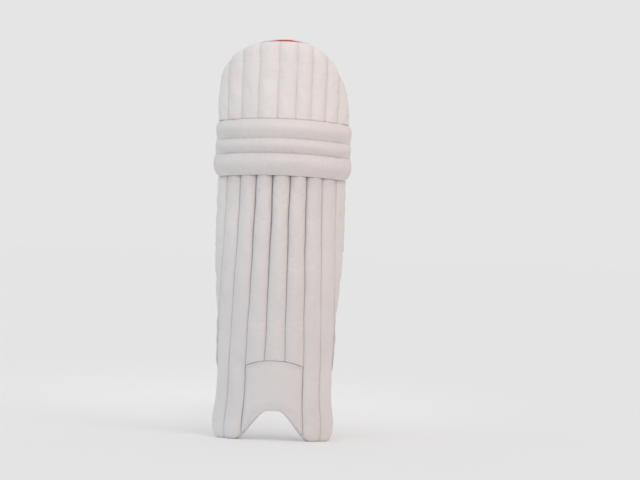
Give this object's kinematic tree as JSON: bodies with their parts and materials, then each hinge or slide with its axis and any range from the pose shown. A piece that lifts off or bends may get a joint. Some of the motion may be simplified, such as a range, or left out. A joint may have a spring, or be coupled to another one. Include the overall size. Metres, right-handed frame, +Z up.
{
  "type": "cricket batting leg guard",
  "caption": "Padded leg guard for a cricket batter: upright canes up the shin, horizontal knee rolls, a domed top flap, an arched instep and straps that close behind the leg.",
  "frame": {"origin": "on the floor under the middle of the guard's bounding box", "axes": "+Z up from the feet to the top flap, -Y out of the padded face, +X to the right as the face is seen"},
  "size_m": [0.2344, 0.1302, 0.692],
  "materials": {
    "white_face": "white coated synthetic leather, fine grain",
    "white_lining": "white coated lining cloth",
    "orange_lining": "orange lining cloth with a tonal print",
    "strap": "white padded strap cloth",
    "stripe": "red woven webbing",
    "tab": "cream hook-and-loop tape"
  },
  "bodies": {
    "root": {"shin_cane_1": "white_face", "shin_cane_2": "white_face", "shin_cane_3": "white_face", "shin_cane_4": "white_face", "shin_cane_5": "white_face", "shin_cane_6": "white_face", "shin_cane_7": "white_face", "wing_left": "white_face", "wing_right": "white_face", "instep_panel": "white_face", "knee_roll_lower": "white_face", "knee_roll_middle": "white_face", "knee_roll_upper": "white_face", "top_hat": "white_face", "knee_cushion": "white_face", "instep_lining": "white_lining", "side_bolster_left": "white_lining", "side_bolster_right": "white_lining", "top_hat_lining": "orange_lining", "calf_lining": "orange_lining", "knee_strap": "strap", "knee_stripe": "stripe", "knee_tab": "tab", "calf_strap": "strap", "calf_stripe": "stripe", "calf_tab": "tab", "ankle_strap": "strap", "ankle_stripe": "stripe", "ankle_tab": "tab", "ankle_keeper": "strap"}
  },
  "joints": []
}
